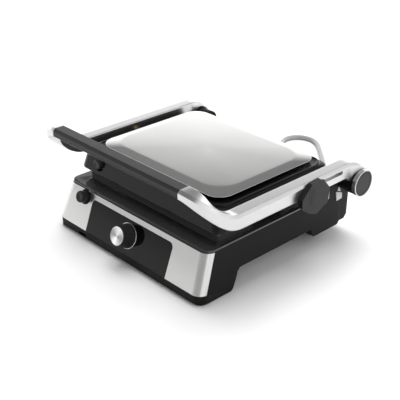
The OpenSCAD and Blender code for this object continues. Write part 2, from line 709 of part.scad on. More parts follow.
// Direction of a route at one of its points
function heading(route, i) = unit(route[min(i + 1, len(route) - 1)] - route[max(i - 1, 0)]);

module tube_along(route, d, sides) {
    points = [for (i = [0 : len(route) - 1]) let (
            along = heading(route, i),
            side = unit(cross([0, 0, 1], along)),
            up = cross(along, side))
        for (j = [0 : sides - 1]) let (a = 360 * (j + 0.5) / sides)
            route[i] + d / 2 * (cos(a) * side + sin(a) * up)];
    polyhedron(points, tube_faces(len(route), sides), convexity = 10);
}

module cord_gland() color("#1d1d1d") translate([gland[0], rear_y - mid_y - wall - 2, gland[1]])
    rotate([-90, 0, 0]) difference() {
        rotate_extrude() polygon([
            [0, 0], [9, 0], [9, 1.9], [6.9, 1.9], [6.9, 5.1], [10.5, 5.1], [10.5, 8], [8, 9.5],
            [5.6, 35], [0, 35]
        ]);
        translate([0, 0, -1]) cylinder(h = 32, d = cord_d + 0.2);
    }

module cord_run() color("#b9b9b9") tube_along(run_route, cord_d, 10);

module cord_tail() color("#b9b9b9") tube_along(tail_route, cord_d, 10);

module cord_coil() color("#b9b9b9") translate(coil_at) rotate_extrude()
    translate([coil_d / 2 - cord_d / 2, 0]) square([cord_d, coil_h]);

module cord_tie() color("#303030") translate(coil_at) rotate([0, 0, 200])
    translate([coil_d / 2, 0, 0]) difference() {
        translate([-cord_d / 2 - 1.3, -5, -0.75]) cube([cord_d + 2.6, 10, coil_h + 1.5]);
        translate([-cord_d / 2 - 0.6, -6, -0.1]) cube([cord_d + 1.2, 12, coil_h + 0.2]);
    }

module mains_plug() color("#b9b9b9") translate(plug_at) rotate([0, 90, 0]) rotate_extrude() polygon([
    [0, 0], [5.5, 0], [7.5, 20], [16.5, 27], [18.6, 31], [18.6, 46], [17.6, 47], [0, 47]
]);

module plug_pins() color("#d0d0d0") translate(plug_at) for (s = [-1, 1])
    translate([47, s * 9.5, 0]) rotate([0, 90, 0]) cylinder(h = 19, d = 4.8);

base_housing();
base_bottom_cover();
base_deck();
front_fascia();
control_panel();
knob_ring();
thermostat();
lower_plate();
lower_heater();
lower_reflector();
lower_plate_clips();
grease_chute();
terminal_block();
lower_button_collar();
lower_button_spring();
upper_button_spring();
rubber_feet();
base_screws();
hinge_pins();
knob_body();
knob_shaft();
knob_cap();
lower_release_button();
drip_tray();
arm_right();
arm_left();
hinge_hubs();
hinge_caps();
hinge_discs();
grip();
grip_underside();
grip_crossbar();
grip_screws();
lid_pivot_pins();
lock_slider();
lid_frame();
top_cover();
upper_plate();
upper_heater();
upper_reflector();
upper_plate_clips();
pivot_bushes();
lid_screws();
upper_release_button();
cord_gland();
cord_run();
cord_coil();
cord_tail();
cord_tie();
mains_plug();
plug_pins();
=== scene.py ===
"""Looks of a panini press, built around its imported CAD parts.

Metres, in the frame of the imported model: +X is the press's right-hand side, +Y its back, +Z up.
Shapes are drawn in millimetres from the foot of the steel fascia, and at() moves them to that frame.
"""
import json
import math

import bmesh
import bpy
from mathutils import Matrix, Vector


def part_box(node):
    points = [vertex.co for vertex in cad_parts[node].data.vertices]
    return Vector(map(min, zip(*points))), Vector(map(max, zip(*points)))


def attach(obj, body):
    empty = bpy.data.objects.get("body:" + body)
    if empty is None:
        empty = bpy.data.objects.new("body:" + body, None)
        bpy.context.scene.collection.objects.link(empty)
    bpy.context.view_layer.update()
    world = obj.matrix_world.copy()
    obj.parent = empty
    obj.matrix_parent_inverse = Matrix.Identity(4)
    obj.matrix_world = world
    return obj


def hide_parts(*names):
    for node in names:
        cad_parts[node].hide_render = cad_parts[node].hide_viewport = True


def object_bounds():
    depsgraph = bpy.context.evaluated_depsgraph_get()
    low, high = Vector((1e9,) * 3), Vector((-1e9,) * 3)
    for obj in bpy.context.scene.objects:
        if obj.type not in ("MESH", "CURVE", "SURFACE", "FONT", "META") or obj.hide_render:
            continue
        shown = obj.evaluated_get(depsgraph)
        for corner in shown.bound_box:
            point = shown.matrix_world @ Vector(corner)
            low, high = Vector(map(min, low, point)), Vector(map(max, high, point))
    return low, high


MM = 0.001
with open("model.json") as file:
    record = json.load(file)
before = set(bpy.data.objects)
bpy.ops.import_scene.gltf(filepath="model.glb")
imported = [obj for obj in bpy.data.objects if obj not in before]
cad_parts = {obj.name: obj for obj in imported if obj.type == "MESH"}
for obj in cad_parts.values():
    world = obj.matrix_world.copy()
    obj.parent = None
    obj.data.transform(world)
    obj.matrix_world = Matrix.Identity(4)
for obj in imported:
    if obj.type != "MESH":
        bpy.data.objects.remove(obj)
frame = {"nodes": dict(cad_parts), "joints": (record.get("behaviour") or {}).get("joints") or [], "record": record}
nodes = frame["nodes"]
joints = {j["name"]: j for j in frame["joints"]}
cad_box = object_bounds()

FOOT_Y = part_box("front_fascia")[0].y  # foot of the fascia, from which depths are measured


def at(x, y, z):
    """A point given in millimetres from the foot of the fascia."""
    return Vector((x * MM, y * MM + FOOT_Y, z * MM))


def millimetres(node):
    """Lowest and highest corner of a CAD node in millimetres from the foot of the fascia."""
    return [(p.x / MM, (p.y - FOOT_Y) / MM, p.z / MM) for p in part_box(node)]


def across(u, v, w):
    """place() for outlines drawn in (depth, height) and extruded across the press."""
    return at(w, u, v)


# ---- camera ---------------------------------------------------------------------------------

CAMERA_AT = Vector((0.88747, -0.85574, 0.694))
AZIMUTH, ELEVATION, ROLL = (math.radians(a) for a in (46.18, 27.58, 0.51))
FOCAL_LENGTH, SENSOR_WIDTH = 75.82, 36


def make_camera():
    forward = Vector((
        -math.sin(AZIMUTH) * math.cos(ELEVATION),
        math.cos(AZIMUTH) * math.cos(ELEVATION),
        -math.sin(ELEVATION),
    ))
    level = Vector((math.cos(AZIMUTH), math.sin(AZIMUTH), 0))
    above = level.cross(forward)
    right = level * math.cos(ROLL) + above * math.sin(ROLL)
    up = above * math.cos(ROLL) - level * math.sin(ROLL)
    data = bpy.data.cameras.new("camera")
    data.lens = FOCAL_LENGTH
    data.sensor_width = SENSOR_WIDTH
    camera = bpy.data.objects.new("camera", data)
    turn = Matrix((right, up, -forward)).transposed().to_4x4()
    camera.matrix_world = Matrix.Translation(CAMERA_AT) @ turn
    bpy.context.scene.collection.objects.link(camera)
    bpy.context.scene.camera = camera


make_camera()


# ---- materials ------------------------------------------------------------------------------


class Surface:
    """A node material: a Principled shader whose colour, roughness and bump come from textures."""

    def __init__(self, name, color, roughness, metallic=0.0, **constants):
        self.material = bpy.data.materials.new(name)
        self.material.use_nodes = True
        self.tree = self.material.node_tree
        self.shader = self.tree.nodes["Principled BSDF"]
        self.shader.inputs["Base Color"].default_value = (*color, 1)
        self.shader.inputs["Roughness"].default_value = roughness
        self.shader.inputs["Metallic"].default_value = metallic
        for socket, value in constants.items():
            self.shader.inputs[socket.replace("_", " ")].default_value = value
        self.color = color
        self.roughness = roughness
        self.place = self.add("ShaderNodeTexCoord").outputs["Object"]

    def add(self, kind, **settings):
        node = self.tree.nodes.new(kind)
        for key, value in settings.items():
            setattr(node, key, value)
        return node

    def link(self, source, target):
        self.tree.links.new(source, target)

    def stretched(self, scale):
        """Coordinates scaled along each axis."""
        node = self.add("ShaderNodeMapping")
        self.link(self.place, node.inputs["Vector"])
        node.inputs["Scale"].default_value = scale
        return node.outputs["Vector"]

    def noise(self, scale, stretch=(1, 1, 1), detail=3.0):
        node = self.add("ShaderNodeTexNoise")
        self.link(self.stretched(stretch), node.inputs["Vector"])
        node.inputs["Scale"].default_value = scale
        node.inputs["Detail"].default_value = detail
        return node.outputs["Fac"]

    def speckle(self, scale):
        node = self.add("ShaderNodeTexVoronoi")
        self.link(self.place, node.inputs["Vector"])
        node.inputs["Scale"].default_value = scale
        return node.outputs["Distance"]

    def between(self, factor, low, high):
        """Maps a 0 to 1 factor to a number."""
        node = self.add("ShaderNodeMapRange")
        self.link(factor, node.inputs["Value"])
        node.inputs["To Min"].default_value = low
        node.inputs["To Max"].default_value = high
        return node.outputs["Result"]

    def vary_color(self, factor, spread):
        """Base colour made darker and lighter by `spread`, as a share."""
        node = self.add("ShaderNodeMix", data_type="RGBA")
        self.link(factor, node.inputs["Factor"])
        node.inputs["A"].default_value = (*(c * (1 - spread) for c in self.color), 1)
        node.inputs["B"].default_value = (*(c * (1 + spread) for c in self.color), 1)
        self.link(node.outputs["Result"], self.shader.inputs["Base Color"])

    def vary_roughness(self, factor, spread):
        low, high = self.roughness - spread, self.roughness + spread
        self.link(self.between(factor, low, high), self.shader.inputs["Roughness"])

    def bump(self, height, distance_mm, strength=0.5):
        node = self.add("ShaderNodeBump")
        node.inputs["Strength"].default_value = strength
        node.inputs["Distance"].default_value = distance_mm * MM
        self.link(height, node.inputs["Height"])
        self.link(node.outputs["Normal"], self.shader.inputs["Normal"])


def moulded(name, grey, roughness, grain=0.04, coat=0.0, specular=0.34):
    """Moulded plastic with a fine spark-eroded grain."""
    color = (grey, grey * 0.99, grey * 0.98)
    s = Surface(name, color, roughness, Specular_IOR_Level=specular, Coat_Weight=coat)
    s.vary_color(s.noise(35, detail=4), 0.07)
    s.vary_roughness(s.noise(60, detail=4), 0.05)
    s.bump(s.noise(1900, detail=2), grain, 0.35)
    return s.material


def brushed(name, grey, roughness):
    """Brushed sheet steel, its brush lines along X."""
    s = Surface(name, (grey, grey, grey * 0.99), roughness, 1.0, Anisotropic=0.5)
    along_x = (0.012, 1, 1)
    lines = s.noise(2600, along_x, 4)
    s.vary_color(lines, 0.05)
    s.vary_roughness(s.noise(1400, along_x, 3), 0.05)
    s.bump(lines, 0.02, 0.3)
    return s.material


def satin(name, color, roughness, grain=0.02):
    """Blasted or cast metal."""
    s = Surface(name, color, roughness, 1.0)
    s.vary_color(s.noise(90, detail=4), 0.03)
    s.vary_roughness(s.noise(140, detail=4), 0.04)
    s.bump(s.noise(2400, detail=2), grain, 0.3)
    return s.material


def spun(name, grey):
    """Turned metal face: fine rings round the knob's axis, and a painted highlight, its colour lightened in two
    opposed wedges.
    """
    wedge_count, turn = 2, 2 * math.pi
    s = Surface(name, (grey, grey, grey), 0.24, 1.0, Anisotropic=0.97)
    tangent = s.add("ShaderNodeTangent", direction_type="RADIAL", axis="Z")
    s.link(tangent.outputs["Tangent"], s.shader.inputs["Tangent"])
    around = s.add("ShaderNodeTexGradient", gradient_type="RADIAL")
    s.link(s.place, around.inputs["Vector"])
    twice = s.add("ShaderNodeMath", operation="MULTIPLY")
    s.link(around.outputs["Fac"], twice.inputs[0])
    twice.inputs[1].default_value = wedge_count * turn
    wave = s.add("ShaderNodeMath", operation="COSINE")
    s.link(twice.outputs["Value"], wave.inputs[0])
    # painted highlight: the colour is lighter in two opposed wedges round the axis, standing in for the sheen of
    # spun metal
    painted_sheen = s.between(wave.outputs["Value"], 1, 0)
    painted_sheen.node.inputs["From Min"].default_value = -1
    s.vary_color(painted_sheen, 0.42)
    rings = s.add("ShaderNodeTexWave", wave_type="RINGS", rings_direction="Z")
    s.link(s.place, rings.inputs["Vector"])
    rings.inputs["Scale"].default_value = 1500
    s.bump(rings.outputs["Fac"], 0.01, 0.25)
    return s.material


def coated(name):
    """Non-stick coating over cast aluminium."""
    s = Surface(name, (0.018, 0.018, 0.019), 0.42, Specular_IOR_Level=0.5)
    s.vary_color(s.speckle(1500), 0.35)
    s.vary_roughness(s.noise(160), 0.07)
    s.bump(s.noise(700, detail=3), 0.05, 0.4)
    return s.material


def rubbery(name):
    s = Surface(name, (0.02, 0.02, 0.02), 0.85)
    s.vary_color(s.noise(60), 0.2)
    s.bump(s.noise(900), 0.05, 0.5)
    return s.material


def fired(name):
    s = Surface(name, (0.62, 0.6, 0.53), 0.8)
    s.vary_color(s.noise(120), 0.1)
    s.bump(s.noise(600), 0.1, 0.4)
    return s.material


def sheath(name):
    """Satin lead sheath."""
    s = Surface(name, (0.36, 0.36, 0.355), 0.38, Specular_IOR_Level=0.5)
    s.vary_color(s.noise(70), 0.08)
    s.vary_roughness(s.noise(120), 0.06)
    s.bump(s.noise(1500), 0.02, 0.4)
    return s.material


MATERIALS = {
    "black_plastic": moulded("black_plastic", 0.005, 0.5, specular=0.14),
    "lid_plastic": moulded("lid_plastic", 0.005, 0.2, 0.01, specular=0.2),
    "soft_plastic": moulded("soft_plastic", 0.014, 0.4, specular=0.24),
    "grey_plastic": moulded("grey_plastic", 0.022, 0.42, specular=0.26),
    "deck_plastic": moulded("deck_plastic", 0.03, 0.12, 0.004, 0.7),
    "gloss_black": moulded("gloss_black", 0.003, 0.07, 0.002, specular=0.22),
    "brushed_steel": brushed("brushed_steel", 0.62, 0.22),
    "cover_steel": brushed("cover_steel", 0.6, 0.2),
    "satin_aluminium": satin("satin_aluminium", (0.66, 0.66, 0.66), 0.3),
    "chrome": satin("chrome", (0.75, 0.75, 0.75), 0.1, 0.004),
    "plain_steel": satin("plain_steel", (0.45, 0.44, 0.43), 0.42),
    "brass": satin("brass", (0.72, 0.53, 0.24), 0.3),
    "spun_steel": spun("spun_steel", 0.7),
    "nonstick": coated("nonstick"),
    "rubber": rubbery("rubber"),
    "ceramic": fired("ceramic"),
    "cord_grey": sheath("cord_grey"),
    "white_print": moulded("white_print", 0.6, 0.5),
}


# ---- mesh helpers ---------------------------------------------------------------------------


def finish_piece(obj, body, slot, stands_for=()):
    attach(obj, body)
    if stands_for:
        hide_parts(*stands_for)
    return obj


def piece(name, bm, body, slot, material, stands_for=(), sharp=35):
    """Makes the object of a finished mesh; edges over `sharp` degrees shade as creases."""
    bmesh.ops.recalc_face_normals(bm, faces=bm.faces)
    mesh = bpy.data.meshes.new(name)
    bm.to_mesh(mesh)
    bm.free()
    mesh.materials.append(MATERIALS[material])
    mesh.shade_smooth()
    mesh.set_sharp_from_angle(angle=math.radians(sharp))
    obj = bpy.data.objects.new(name, mesh)
    bpy.context.scene.collection.objects.link(obj)
    shading = obj.modifiers.new("flat_faces_stay_flat", "WEIGHTED_NORMAL")
    shading.keep_sharp = True
    return finish_piece(obj, body, slot, stands_for)


BEVEL_ANGLE = 30  # edges sharper than this many degrees are rounded


def round_edges(obj, width):
    """Rounds the edges of a piece, with shading that keeps its flat faces flat."""
    bevel = obj.modifiers.new("round_edges", "BEVEL")
    bevel.width = width * MM
    bevel.segments = 3
    bevel.limit_method = "ANGLE"
    bevel.angle_limit = math.radians(BEVEL_ANGLE)
    bevel.harden_normals = True


def rounded(node, body, slot, material, width):
    """A copy of a CAD node with rounded edges; it stands for the node."""
    same_point, same_plane = 0.002 * MM, math.radians(1)
    bm = bmesh.new()
    bm.from_mesh(nodes[node].data)
    bmesh.ops.remove_doubles(bm, verts=bm.verts, dist=same_point)
    bmesh.ops.dissolve_limit(bm, angle_limit=same_plane, verts=bm.verts, edges=bm.edges)
    obj = piece(node + "_finish", bm, body, slot, material, [node], BEVEL_ANGLE)
    obj.modifiers.clear()
    round_edges(obj, width)
    return obj


def arc(cx, cy, r, start, end, steps=4):
    """Points of a round corner, angles in degrees."""
    angles = (math.radians(start + (end - start) * i / steps) for i in range(steps + 1))
    return [(cx + r * math.cos(a), cy + r * math.sin(a)) for a in angles]


def rounded_rect(x0, x1, y0, y1, r, steps):
    """Points of a rounded rectangle, counter-clockwise."""
    centres = ((x1 - r, y0 + r), (x1 - r, y1 - r), (x0 + r, y1 - r), (x0 + r, y0 + r))
    points = []
    for (cx, cy), start in zip(centres, (-90, 0, 90, 180)):
        points += arc(cx, cy, r, start, start + 90, steps)
    return points


def smoothed(corners, steps):
    """A closed outline whose corners (x, y, radius) are rounded by slightly flattened parabolas."""
    longest, flattening = 0.49, 0.06  # share of a side that a corner may take, and of the way to its chord
    points = []
    count = len(corners)
    for i, (x, y, r) in enumerate(corners):
        here = Vector((x, y))
        before = Vector(corners[i - 1][:2]) - here
        after = Vector(corners[(i + 1) % count][:2]) - here
        if r <= 0:
            points.append(here)
            continue
        half = before.angle(after) / 2
        reach = min(r / math.tan(half), before.length * longest, after.length * longest)
        start, end = here + before.normalized() * reach, here + after.normalized() * reach
        for k in range(steps + 1):
            t = k / steps
            bend = here * (2 * t * (1 - t)) + start * (1 - t) ** 2 + end * t ** 2
            points.append(bend.lerp(start.lerp(end, t), flattening))
    return [(p.x, p.y) for p in points]


def loft(rings):
    """A closed skin over rings of equally many points."""
    bm = bmesh.new()
    rows = [[bm.verts.new(p) for p in ring] for ring in rings]
    count = len(rings[0])
    for low, high in zip(rows, rows[1:]):
        for i in range(count):
            k = (i + 1) % count
            bm.faces.new((low[i], low[k], high[k], high[i]))
    bm.faces.new(list(reversed(rows[0])))
    bm.faces.new(rows[-1])
    return bm


def inset(outline, distance):
    """A closed outline moved inwards where it runs counter-clockwise, outwards where clockwise."""
    sharpest = 0.4  # keeps the reach of a sharp corner short
    moved = []
    count = len(outline)
    for i in range(count):
        here = Vector(outline[i])
        before = (here - Vector(outline[i - 1])).normalized()
        after = (Vector(outline[(i + 1) % count]) - here).normalized()
        n1 = Vector((-before.y, before.x))
        n2 = Vector((-after.y, after.x))
        normal = (n1 + n2).normalized()
        scale = 1 / max(sharpest, normal.dot(n1))
        moved.append(tuple(here + normal * distance * scale))
    return moved


def slab(outline, low, high, place, round_low, round_high, steps=3):
    """An outline given thickness, with rounded rims; place(u, v, w) gives the point in space."""
    quarter = [math.pi / 2 * i / steps for i in range(steps + 1)]
    rings = []
    for a in quarter:
        ring = inset(outline, round_low * (1 - math.sin(a)))
        rings.append((ring, low + round_low * (1 - math.cos(a))))
    for a in quarter:
        ring = inset(outline, round_high * (1 - math.cos(a)))
        rings.append((ring, high - round_high * (1 - math.sin(a))))
    return loft([[place(u, v, w) for u, v in ring] for ring, w in rings])


def turned(profile, place, steps=64):
    """A solid of revolution: profile is [(radius, height)], place(u, v, w) gives the point in space."""
    on_axis = 0.01
    bm = bmesh.new()
    rows = []
    for r, w in profile:
        if r < on_axis:
            rows.append([bm.verts.new(place(0, 0, w))] * steps)
        else:
            angles = (2 * math.pi * i / steps for i in range(steps))
            rows.append([bm.verts.new(place(r * math.cos(a), r * math.sin(a), w)) for a in angles])
    for low, high in zip(rows, rows[1:]):
        for i in range(steps):
            k = (i + 1) % steps
            corners = []
            for v in (low[i], low[k], high[k], high[i]):
                if v not in corners:
                    corners.append(v)
            if len(corners) > 2:
                bm.faces.new(corners)
    return bm


# Frame on the fascia: u across, v up the slope, w out of its face, in millimetres
TILT = math.atan2(joints["knob_turn"]["axis"][2], -joints["knob_turn"]["axis"][1])
FASCIA_LOW = millimetres("front_fascia")[0][2]


def on_fascia(u, v, w):
    up_y, up_z = math.sin(TILT), math.cos(TILT)
    return at(u, v * up_y - w * up_z, FASCIA_LOW + v * up_z + w * up_y)


# ---- mains lead -----------------------------------------------------------------------------

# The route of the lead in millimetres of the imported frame: along the table, and its end at the plug
RUN = [
    (95, 205, 36), (95, 211, 35.8), (94, 222, 34), (90, 234, 29), (83, 245, 20.3), (77, 253, 12.5),
    (68, 261, 7.2), (57, 272, 4.8), (46, 282, 4.6), (29, 298, 4.6), (10, 316, 4.6), (-10, 335.5, 4.6),
    (-30, 355, 4.6), (-50, 374, 4.6), (-67, 390, 4.6), (-81, 401.5, 4.6), (-97, 409.6, 4.6),
    (-115, 409.6, 4.6), (-131, 401, 4.6), (-140, 386, 4.6), (-140, 367, 4.6), (-130, 351, 4.6),
    (-112, 334, 4.6), (-94, 316.5, 4.7), (-76, 299, 5),
]
TAIL = [(-48, 268, 23.8), (-41, 256, 23.4), (-31, 244, 22.4), (-18, 234, 21), (-2, 229, 19.6), (14, 228, 19)]
CORD_D = 0.009
COIL_TURNS, COIL_STEP = 2.045, 18  # turns, and points on each
COIL_START = math.radians(46.2)  # where the run meets the coil, counter-clockwise from +X


def lead_route():
    low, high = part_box("cord_coil")
    centre = (low + high) / 2
    radius = (high.x - low.x - CORD_D) / 2
    points = [Vector(p) * MM for p in RUN]
    count = round(COIL_TURNS * COIL_STEP)
    for i in range(count):
        turn = COIL_TURNS * i / (count - 1)
        a = COIL_START - 2 * math.pi * turn
        height = low.z + CORD_D / 2 + CORD_D * turn
        points.append(Vector((centre.x + radius * math.cos(a), centre.y + radius * math.sin(a), height)))
    return points + [Vector(p) * MM for p in TAIL[1:]]


def curve_piece(name, points, radius, body, slot, material, stands_for):
    data = bpy.data.curves.new(name, "CURVE")
    data.dimensions = "3D"
    data.bevel_depth = radius
    data.bevel_resolution = 6
    data.resolution_u = 8
    data.use_fill_caps = True
    spline = data.splines.new("BEZIER")
    spline.bezier_points.add(len(points) - 1)
    for knot, point in zip(spline.bezier_points, points):
        knot.co = point
        knot.handle_left_type = knot.handle_right_type = "AUTO"
    data.materials.append(MATERIALS[material])
    obj = bpy.data.objects.new(name, data)
    bpy.context.scene.collection.objects.link(obj)
    return finish_piece(obj, body, slot, stands_for)


def make_lead():
    lead = curve_piece(
        "mains_lead", lead_route(), CORD_D / 2, "base", "cord_grey", "cord_grey",
        ["cord_run", "cord_coil", "cord_tail"],
    )
    low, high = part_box("mains_plug")
    axis = (low + high) / 2

    def along_plug(u, v, w):
        return Vector((low.x + w * MM, axis.y + u * MM, axis.z + v * MM))

    # radius and distance from the lead's end of the plug, with a ribbed strain relief
    rib_steps, pitch, depth, taper = 15, 1.1, 0.9, 0.07
    ribs = [(5.9 + depth * (i % 2) + taper * i, 2 + pitch * i) for i in range(rib_steps)]
    profile = [(0, 0), (4.6, 0), (5.4, 0.8), *ribs, (7.5, 20), (9, 21.4), (14.6, 25.2), (17, 27.6)]
    profile += [(18.3, 31), (18.6, 34), (18.6, 45.4), (18.2, 46.4), (17.2, 46.9), (0, 47)]
    plug = piece("plug_body", turned(profile, along_plug), "base", "cord_grey", "cord_grey", ["mains_plug"])
    gland = rounded("cord_gland", "base", "black_plastic", "black_plastic", 0.3)


make_lead()


# ---- steel fascia, control panel and knob ---------------------------------------------------


def make_fascia():
    rounded("front_fascia", "base", "brushed_steel", "brushed_steel", 0.25)


make_fascia()


# Control panel: its edges up the fascia, the radius of its upper corners, its back and its face
PANEL_LOW, PANEL_HIGH, PANEL_CORNER = 0.3, 55, 8
PANEL_BACK, PANEL_FACE = -2.7, 0.2


def make_controls():
    (left, _, _), (right, _, _) = millimetres("control_panel")
    corners = [(left, PANEL_LOW, 0), (right, PANEL_LOW, 0)]
    corners += [(right, PANEL_HIGH, PANEL_CORNER), (left, PANEL_HIGH, PANEL_CORNER)]
    panel = slab(smoothed(corners, 8), PANEL_BACK, PANEL_FACE, on_fascia, 0.1, 0.25)
    piece("glass_panel", panel, "base", "gloss_black", "gloss_black", ["control_panel"], 60)


make_controls()


def along_axis(axis, pivot):
    """place(u, v, w) with w along an axis from a pivot, u level and v upwards."""
    axis = Vector(axis).normalized()
    level = Vector((0, 0, 1)).cross(axis).normalized()
    above = axis.cross(level)
    return lambda u, v, w: pivot + (level * u + above * v + axis * w) * MM


def along_joint(name):
    """place(u, v, w) with w along a joint's axis from its pivot."""
    return along_axis(joints[name]["axis"], Vector(joints[name]["pos_m"]))


# Knob: radii at its foot, its top and its bore, height of its rim, and depth of the cap's face in it
KNOB_R, KNOB_TOP_R, KNOB_BORE = 19, 14.8, 3.1
KNOB_REACH, CAP_SUNK = 22.7, 0.45
KNOB_STEPS = 96


def make_knob():
    place = along_joint("knob_turn")
    foot, skirt = 1, 1.4
    seat = KNOB_REACH - 2.4
    body = [(KNOB_BORE, foot), (KNOB_R - skirt, foot), *arc(KNOB_R - skirt, foot + skirt, skirt, -90, 0)]
    body += [(KNOB_R, 4.4), (18.2, 5.4), *arc(KNOB_TOP_R + 0.1, KNOB_REACH - 1.7, 1.1, 10, 90)]
    body += [(KNOB_TOP_R, KNOB_REACH - 0.6), (KNOB_TOP_R, seat), (KNOB_BORE, seat)]
    grip = turned(body, place, KNOB_STEPS)
    piece("knob_grip", grip, "knob", "black_plastic", "soft_plastic", ["knob_body"])
    ring = [(19.3, 0.2), (20.5, 0.2), (20.5, 0.9), *arc(20, 0.9, 0.5, 0, 90), (19.6, 1.4), (19.3, 1.1)]
    ring.append(ring[0])
    bezel = turned(ring, place, KNOB_STEPS)
    piece("knob_bezel", bezel, "base", "chrome", "chrome", ["knob_ring"], 50)
    # the cap's face is drawn about its own axis, where its material has the middle of its rings
    face = [(0, -2.2), (14.7, -2.2), *arc(14.2, -0.1, 0.5, 0, 90), (13.9, 0.32), (13.2, 0.16)]
    face += [(5, 0.42), (0, 0.5)]
    disc = turned(face, lambda u, v, w: Vector((u, v, w)) * MM, KNOB_STEPS)
    cap = piece("knob_face", disc, "knob", "satin_aluminium", "spun_steel", ["knob_cap"], 50)
    axis = Vector(joints["knob_turn"]["axis"]).normalized()
    turn = axis.to_track_quat("Z", "Y").to_matrix().to_4x4()
    cap.matrix_world = Matrix.Translation(place(0, 0, KNOB_REACH - CAP_SUNK)) @ turn


make_knob()


def make_button(node, push, radius, length, middle, body):
    """A push button with a rounded rim and a shallow dish; middle is that of its face."""
    place = along_axis(-Vector(joints[push]["axis"]), middle)
    stem, flange, rim = 3, 5 - length, 2.4
    profile = [(0, -length), (stem, -length), (stem, flange), (radius, flange), (radius, -2.6)]
    profile += [*arc(radius - rim, -rim, rim, 0, 80), (radius - 4.2, -0.25), (radius * 0.4, -0.7), (0, -0.8)]
    piece(node + "_finish", turned(profile, place), body, "grey_plastic", "soft_plastic", [node])
    return place


def make_collar(place, radius, foot):
    """The ring round the lower button, `foot` from the button's face."""
    rim = [(radius + 0.5, 0), (radius + 2.8, 0), (radius + 2.6, 0.7), *arc(radius + 1.6, 0.6, 0.8, 20, 90)]
    rim += [(radius + 0.8, 1.3), (radius + 0.5, 0)]
    ring = turned([(r, foot + w) for r, w in rim], place)
    node = "lower_button_collar"
    piece(node + "_finish", ring, "base", "black_plastic", "black_plastic", [node])


LOWER_BUTTON_R, LOWER_BUTTON_UP, LOWER_BUTTON_OUT = 9.8, 52, 13


def make_buttons():
    low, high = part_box("upper_release_button")
    face = Vector(((low.x + high.x) / 2, low.y, (low.z + high.z) / 2))
    make_button("upper_release_button", "upper_button_push", 8.5, 16.4, face, "upper_button")
    low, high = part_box("lower_button_collar")
    face = on_fascia((low.x + high.x) / 2 / MM, LOWER_BUTTON_UP, LOWER_BUTTON_OUT)
    push = "lower_button_push"
    place = make_button("lower_release_button", push, LOWER_BUTTON_R, 25, face, "lower_button")
    make_collar(place, LOWER_BUTTON_R, -LOWER_BUTTON_OUT)


make_buttons()


# ---- base -----------------------------------------------------------------------------------


def make_base():
    rounded("base_housing", "base", "black_plastic", "black_plastic", 0.7)
    rounded("base_deck", "base", "grey_plastic", "deck_plastic", 0.5)
    rounded("base_bottom_cover", "base", "plain_steel", "plain_steel", 0.2)
    rounded("drip_tray", "tray", "black_plastic", "black_plastic", 0.7)
    rounded("lower_plate", "base", "nonstick", "nonstick", 0.7)
    rounded("upper_plate", "lid", "nonstick", "nonstick", 0.7)


make_base()


BASE_SIDE = 165  # outer face of the base, under the end of the right arm


def mark(name, corners, rise):
    """A printed mark on the side of the base."""
    outline = smoothed([(y, z, 0.4) for y, z in corners], 3)
    bm = slab(outline, BASE_SIDE - 0.05, BASE_SIDE + rise, across, 0.02, 0.1, 1)
    piece(name, bm, "base", "grey_plastic", "white_print")


def make_marks():
    mark("mark_line", [(287, 72), (291.5, 72), (291.5, 93.4), (287, 93.4)], 0.6)
    mark("mark_block", [(311, 61.5), (324.5, 62.5), (323.7, 72.7), (308.5, 78.6)], 1.8)
    mark("mark_arrow", [(313.3, 78.7), (321.9, 75), (316.3, 87.4)], 0.3)


make_marks()


# ---- lid ------------------------------------------------------------------------------------


def frame_ring(half, front, back, z, r):
    """A level ring with round corners, as wide to the left as to the right."""
    return [at(x, y, z) for x, y in rounded_rect(-half, half, front, back, r, 14)]


RIM_Z = 138.5  # top of the cover's rolled rim
PANEL_Z = RIM_Z + 3.5  # edge of its crowned panel
PANEL_INSET, PANEL_R, CROWN = 17, 42, 1.05


def make_cover():
    """Pressed steel cover: rolled rim, sloping band and a slightly crowned panel."""
    (_, front, _), (half, back, _) = millimetres("top_cover")
    profile = [
        # inwards, height over the rim, corner radius
        (1.6, -1.4, 26), (0.4, -1.4, 27), (0, -1.1, 27), (0, -0.4, 27), (0.25, -0.05, 27), (0.8, 0.1, 27),
        (7, 1.6, 33), (13, 3.05, 39), (14, 3.25, 40), (15.2, 3.4, 41),
        (PANEL_INSET, PANEL_Z - RIM_Z, PANEL_R),
    ]
    skin = [frame_ring(half - d, front + d, back - d, RIM_Z + z, r) for d, z, r in profile]
    middle, reach_x, reach_y = (front + back) / 2, half - PANEL_INSET, (back - front) / 2 - PANEL_INSET
    for share in (0.93, 0.85, 0.7, 0.5, 0.3, 0.12):
        z = PANEL_Z + CROWN * (1 - share ** 2)
        low_y, high_y = middle - reach_y * share, middle + reach_y * share
        skin.append(frame_ring(reach_x * share, low_y, high_y, z, PANEL_R * share))
    piece("steel_cover", loft(skin), "lid", "brushed_steel", "cover_steel", ["top_cover"], 50)


make_cover()


def carve(obj, cutter):
    """Cuts a closed bmesh out of a piece for good."""
    mesh = bpy.data.meshes.new("cutter")
    bmesh.ops.recalc_face_normals(cutter, faces=cutter.faces)
    cutter.to_mesh(mesh)
    cutter.free()
    tool = bpy.data.objects.new("cutter", mesh)
    bpy.context.scene.collection.objects.link(tool)
    cut = obj.modifiers.new("cut", "BOOLEAN")
    cut.operation = "DIFFERENCE"
    cut.solver = "EXACT"
    cut.object = tool
    bpy.context.view_layer.update()
    graph = bpy.context.evaluated_depsgraph_get()
    carved = bpy.data.meshes.new_from_object(obj.evaluated_get(graph))
    obj.modifiers.remove(cut)
    obj.data = carved
    bpy.data.objects.remove(tool)
    carved.set_sharp_from_angle(angle=math.radians(35))


